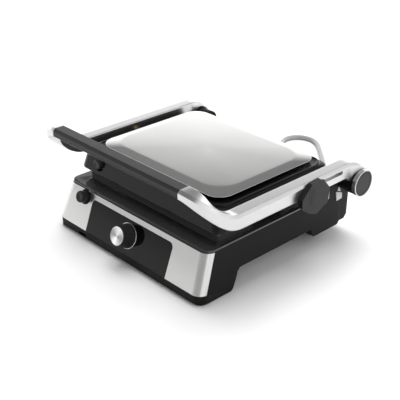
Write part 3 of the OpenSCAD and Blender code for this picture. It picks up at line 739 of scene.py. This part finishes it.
def make_lid_frame():
    """Black lid body: low rim, sloping sides, raised edge round the cover and a hollow for the plate."""
    (_, front, low), (half, back, _) = millimetres("lid_frame")
    profile = [
        # inwards at the sides, front and back, then height and corner radius
        (10, 11, 7, 126.5, 8), (5, 5, 5, 101, 11), (14, 13.4, 6, 100.5, 8), (14, 13.4, 6, low + 0.6, 8),
        (13.4, 12.8, 5.4, low, 9), (1, 1, 1, low, 15), (0.3, 0.3, 0.3, low + 0.25, 16),
        (0, 0, 0, low + 0.9, 16), (0.2, 0.2, 0.1, low + 2.6, 16), (6, 6.4, 2.4, 126.8, 16),
        (6.6, 7, 2.8, 128.8, 16), (8.2, 8.6, 4, 130, 15),
        (12.2, 15, 5.4, 130.1, 20), (12.9, 15.8, 6, 130.6, 22), (13.1, 16.1, 6.2, 132.4, 22),
        (13.6, 16.7, 6.8, 133, 22), (15.6, 19, 7.4, 133, 23), (16.3, 19.8, 8, 132.6, 23),
        (17, 20.6, 8.6, 131.5, 23), (26, 30, 16, 131.5, 20),
    ]
    skin = [frame_ring(half - s, front + f, back - b, z, r) for s, f, b, z, r in profile]
    body = piece("lid_body", loft(skin), "lid", "black_plastic", "lid_plastic", ["lid_frame"])
    x, _, z = [(a + b) / 2 for a, b in zip(*millimetres("upper_release_button"))]
    front_face = front + 4
    # radius and depth of the release button's seat
    seat = [(0, -20), (13, -20), (12.2, 1.2), (11.6, 2), (9, 2.2), (9, 14), (0, 14)]
    carve(body, turned(seat, lambda u, v, w: at(x + u, front_face + w, z - v), 48))


make_lid_frame()


# ---- handle ---------------------------------------------------------------------------------

ARM_W, ARM_H = 23.5, 23.3
ARM_OUTER, ARM_TOP = 191, 138  # outer side and top of the straight arm
ARM_MIDDLE = ARM_OUTER - ARM_W / 2
GRIP_END_W, GRIP_END_H = 22, 14  # section where an arm meets the grip
ELBOW = [(ARM_MIDDLE, 62, 126.35), (ARM_MIDDLE, 25, 126.35), (185, -5, 177.5), (144, -5, 177.5)]
ELBOW_STEPS = 30
HUB_IN, HUB_OUT, HUB_END = 21.6, 24.5, 165  # radii of an arm's end round the hinge, and its last angle
HUB_X, HUB_NARROWING, HUB_WIDENING = 167.5, 5.5, 4
# Depth and height of the arm's back above the hub, by angle round the hinge
HUB_BACK = {
    165: (303, 138), 150: (308.5, 137.9), 135: (313.5, 137.2), 120: (318.7, 136),
    105: (324.2, 133.9), 90: (329.9, 130.9), 75: (335.5, 126.9),
}
SLOT_Y, SLOT_Z, SLOT_R = (206.2, 283.8), 129.45, 3.15  # ends, height and half width of the slider's slot


def arm_section(w, h):
    """Section of an arm, (outwards, upwards), with its outer top edge cut off."""
    c = min(0.19 * w, 0.5 * h)
    r = min(2.0, 0.3 * h)
    corners = [(-w / 2, -h / 2, r), (w / 2, -h / 2, r), (w / 2, h / 2 - c, 0.9)]
    corners += [(w / 2 - c, h / 2, 0.9), (-w / 2, h / 2, r)]
    return smoothed(corners, 4)


def upright_section(side, low, high, x0, x1):
    """Section of an arm between two points (depth, height) and two distances from the middle."""
    h = math.dist(low, high)
    ring = []
    for u, v in arm_section(x1 - x0, h):
        t = (v + h / 2) / h
        y, z = (a + (b - a) * t for a, b in zip(low, high))
        ring.append(at(side * ((x0 + x1) / 2 + u), y, z))
    return ring


def elbow_section(side, t):
    """Section of an arm at a share t of its elbow, which is a cubic curve up to the end of the grip."""
    knots = [Vector(k) for k in ELBOW]
    weights = ((1 - t) ** 3, 3 * t * (1 - t) ** 2, 3 * t * t * (1 - t), t ** 3)
    here = sum((k * w for k, w in zip(knots, weights)), Vector())
    slopes = ((1 - t) ** 2, 2 * t * (1 - t), t * t)
    along = sum(((b - a) * w for a, b, w in zip(knots, knots[1:], slopes)), Vector()).normalized()
    out = Vector((0, 0, 1)).cross(along).normalized()
    up = along.cross(out)
    section = arm_section(ARM_W + (GRIP_END_W - ARM_W) * t, ARM_H + (GRIP_END_H - ARM_H) * t)
    points = [here + out * u + up * v for u, v in section]
    return [at(side * p.x, p.y, p.z) for p in points]


def make_arm(name, side):
    hinge = joints["handle_hinge"]["pos_m"]
    hinge_y, hinge_z = (hinge[1] - FOOT_Y) / MM, hinge[2] / MM
    rings = []
    # over the hub, from its rear round to the straight arm
    for a in range(-15, HUB_END + 1, 15):
        c, s = math.cos(math.radians(a)), math.sin(math.radians(a))
        inner = (hinge_y + HUB_IN * c, hinge_z + HUB_IN * s)
        outer = HUB_BACK.get(a, (hinge_y + HUB_OUT * c, hinge_z + HUB_OUT * s))
        flare = min(1, max(0, (HUB_END - a) / 60))
        x0, x1 = HUB_X + HUB_NARROWING * flare, ARM_OUTER + HUB_WIDENING * flare
        rings.append(upright_section(side, inner, outer, x0, x1))
    for y in (298, 290, 240, 175, 110, 64):
        low, high = (y, ARM_TOP - ARM_H), (y, ARM_TOP)
        rings.append(upright_section(side, low, high, ARM_OUTER - ARM_W, ARM_OUTER))
    rings += [elbow_section(side, i / ELBOW_STEPS) for i in range(ELBOW_STEPS + 1)]
    return piece(name + "_finish", loft(rings), "handle", "satin_aluminium", "satin_aluminium", [name], 40)


def make_arms():
    right = make_arm("arm_right", 1)
    outline = []
    for y, start in zip(reversed(SLOT_Y), (-90, 90)):
        outline += arc(y, SLOT_Z, SLOT_R, start, start + 180, 10)
    carve(right, slab(outline, 183, 195, across, 0.05, 0.05, 1))
    make_arm("arm_left", -1)


make_arms()


GRIP_HALF = 143.9
GRIP_FRONT, GRIP_BACK, GRIP_SEAM = -16, 6, 174.1  # depths, and height where its two halves meet


def make_grip():
    front, back, seam = GRIP_FRONT, GRIP_BACK, GRIP_SEAM
    upper = [(front, seam, 0.2), (back, seam, 0.2), (back, 183, 1.6), (4.5, 184.5, 1), (-12.4, 184.5, 0.8)]
    upper.append((front, 180.5, 0.8))
    shell = slab(smoothed(upper, 4), -GRIP_HALF, GRIP_HALF, across, 0.5, 0.5)
    piece("grip_shell", shell, "handle", "grey_plastic", "grey_plastic", ["grip"], 30)
    seam -= 0.2
    lower = [(-14, 170.5, 1), (4.5, 170.5, 1), (back, 172, 1), (back, seam, 0.2), (front, seam, 0.2)]
    lower.append((front, 172.5, 1))
    tray = slab(smoothed(lower, 4), -GRIP_HALF, GRIP_HALF, across, 0.5, 0.5)
    piece("grip_tray", tray, "handle", "black_plastic", "soft_plastic", ["grip_underside"], 30)


make_grip()


HUB_INNER, HUB_FACE, HUB_R, HUB_BORE = 172.4, 195.1, 21.5, 5.1
CAP_FOOT, CAP_BORE, CAP_R = 195.3, 18, 22.5
DISC_BACK, DISC_R = 199.4, 20.2


def make_hinge(side, ends):
    """Barrel, ring and disc of one hinge; ends are its three names with the nodes they stand for."""
    axis_place = along_joint("handle_hinge")  # its axis points to the left
    face = cad_box[1].x / MM

    def place(u, v, w):
        return axis_place(u, v, side * w)

    hub = [(HUB_BORE, HUB_INNER), (20.4, HUB_INNER), *arc(20.5, HUB_INNER + 1, 1, -60, 0)]
    hub += [(HUB_R, 190), (HUB_R, HUB_FACE), (HUB_BORE, HUB_FACE), (HUB_BORE, HUB_INNER)]
    ring = [(CAP_BORE, CAP_FOOT), (21.9, CAP_FOOT), *arc(21.7, CAP_FOOT + 0.8, 0.8, -60, 0)]
    ring += [(CAP_R, face - 0.9), *arc(CAP_R - 0.9, face - 0.9, 0.9, 0, 90), (21.1, face)]
    ring += [(20.7, face - 0.7), (20.4, face - 2.2), (CAP_BORE, face - 2.2), (CAP_BORE, CAP_FOOT)]
    disc = [(0, DISC_BACK), (DISC_R, DISC_BACK), (DISC_R, face - 1.2), *arc(19.7, face - 1.2, 0.5, 0, 90)]
    # the groove near the disc's edge
    disc += [(18.4, face - 0.7), (18, face - 1.1), (17.6, face - 1.1), (17.2, face - 0.7), (0, face - 0.6)]
    parts = ((hub, 80, "black_plastic", "black_plastic"), (ring, 96, "chrome", "satin_aluminium"),
             (disc, 96, "grey_plastic", "grey_plastic"))
    for (name, stands_for), (profile, steps, slot, material) in zip(ends, parts):
        piece(name, turned(profile, place, steps), "handle", slot, material, stands_for)


def make_hinges():
    # the pieces of the right hinge stand for the nodes of both
    right = (("hinge_barrels", ["hinge_hubs"]), ("hinge_ring_right", ["hinge_caps"]),
             ("hinge_disc_right", ["hinge_discs"]))
    make_hinge(-1, right)
    left = (("hinge_barrel_left", ()), ("hinge_ring_left", ()), ("hinge_disc_left", ()))
    make_hinge(1, left)


make_hinges()


BLOCK_INNER = 191.4  # the slider's block starts just outside the arm
RIB_DEPTHS = (196, 201, 206)
TONGUE_Y, TONGUE_Z = (206, 242), (126.6, 132.3)


def upright_box(y0, y1, z0, z1, r, steps):
    return smoothed([(y0, z0, r), (y1, z0, r), (y1, z1, r), (y0, z1, r)], steps)


def make_slider():
    (low_x, _, _), (high_x, _, _) = millimetres("lock_slider")
    # these run clockwise, which widens the rims of the block towards its faces
    corners = [(202, 140, 2), (225, 141, 3), (243, 121, 2), (240, 98, 2.5), (231, 96, 2), (216, 88, 3)]
    corners += [(199, 94, 3), (182, 106, 3), (182, 120, 3)]
    block = slab(smoothed(corners, 5), BLOCK_INNER, high_x - 0.3, across, 0.4, 1.4, 4)
    piece("slider_block", block, "slider", "black_plastic", "soft_plastic", ["lock_slider"], 40)
    for y in RIB_DEPTHS:
        rib = slab(upright_box(y, y + 2, 104, 133, 0.9, 4), 200, high_x, across, 0.1, 0.7)
        piece(f"slider_rib_{y}", rib, "slider", "black_plastic", "soft_plastic")
    tongue = slab(upright_box(*TONGUE_Y, *TONGUE_Z, 1, 3), low_x, 192, across, 0.3, 0.3)
    piece("slider_tongue", tongue, "slider", "black_plastic", "soft_plastic")


make_slider()


# ---- finish ---------------------------------------------------------------------------------

NODE_MATERIALS = {s["node"]: s["material_slot"] for s in frame["record"]["subparts"]}


def paint_nodes():
    """Gives each CAD node that stays in view the procedural material of its slot."""
    for name, obj in nodes.items():
        material = MATERIALS[NODE_MATERIALS[name]]
        obj.data.materials.clear()
        obj.data.materials.append(material)


paint_nodes()


FLOOR_HALF = 9  # metres


def make_stage():
    mesh = bpy.data.meshes.new("floor")
    bm = bmesh.new()
    corners = ((-1, -1), (1, -1), (1, 1), (-1, 1))
    bm.faces.new([bm.verts.new((x * FLOOR_HALF, y * FLOOR_HALF, 0)) for x, y in corners])
    bm.to_mesh(mesh)
    bm.free()
    floor = bpy.data.objects.new("floor", mesh)
    bpy.context.scene.collection.objects.link(floor)
    s = Surface("floor_paper", (0.92, 0.92, 0.92), 0.6)
    s.vary_color(s.noise(3), 0.004)
    mesh.materials.append(s.material)


make_stage()


def area_light(name, position, target, size, power):
    data = bpy.data.lights.new(name, "AREA")
    data.shape = "RECTANGLE"
    data.size, data.size_y = size
    data.energy = power
    light = bpy.data.objects.new(name, data)
    light.location = position
    light.rotation_euler = (Vector(target) - Vector(position)).to_track_quat("-Z", "Y").to_euler()
    bpy.context.scene.collection.objects.link(light)
    return light


def falloff(tree, value, start, end, low, high):
    """A smooth step of `value` from `low` at `start` to `high` at `end`."""
    ramp = tree.nodes.new("ShaderNodeMapRange")
    ramp.interpolation_type = "SMOOTHSTEP"
    for name, number in (("From Min", start), ("From Max", end), ("To Min", low), ("To Max", high)):
        ramp.inputs[name].default_value = number
    tree.links.new(value, ramp.inputs["Value"])
    return ramp.outputs["Result"]


def make_lights():
    """Bright walls to the left and right, a dim ceiling and a large soft light overhead."""
    world = bpy.data.worlds.new("studio")
    bpy.context.scene.world = world
    world.use_nodes = True
    tree = world.node_tree
    background = tree.nodes["Background"]
    place = tree.nodes.new("ShaderNodeTexCoord").outputs["Generated"]
    parts = tree.nodes.new("ShaderNodeSeparateXYZ")
    tree.links.new(place, parts.inputs["Vector"])

    def towards(direction):
        facing = tree.nodes.new("ShaderNodeVectorMath")
        facing.operation = "DOT_PRODUCT"
        facing.inputs[1].default_value = direction
        tree.links.new(place, facing.inputs[0])
        return facing.outputs["Value"]

    def combined(operation, first, second):
        node = tree.nodes.new("ShaderNodeMath")
        node.operation = operation
        tree.links.new(first, node.inputs[0])
        tree.links.new(second, node.inputs[1])
        return node.outputs["Value"]

    # each wall by how far a direction leans towards it, and the left one only near the ground
    left = falloff(tree, towards((-0.86, 0.51, 0)), 0.2, 0.7, 0.25, 1.7)
    low = falloff(tree, parts.outputs["Z"], 0.31, 0.5, 1, 0.05)
    right = falloff(tree, towards((0.95, 0.3, 0)), 0.35, 0.65, 0.22, 1.1)
    glow = combined("ADD", combined("MULTIPLY", left, low), right)
    tree.links.new(glow, background.inputs["Strength"])
    background.inputs["Color"].default_value = (1, 1, 1, 1)
    key = area_light("key", (-0.9, 1, 3.4), (0, 0, 0), (3.2, 3.2), 165)
    key.visible_glossy = False


make_lights()
bpy.context.scene.view_settings.view_transform = "Standard"
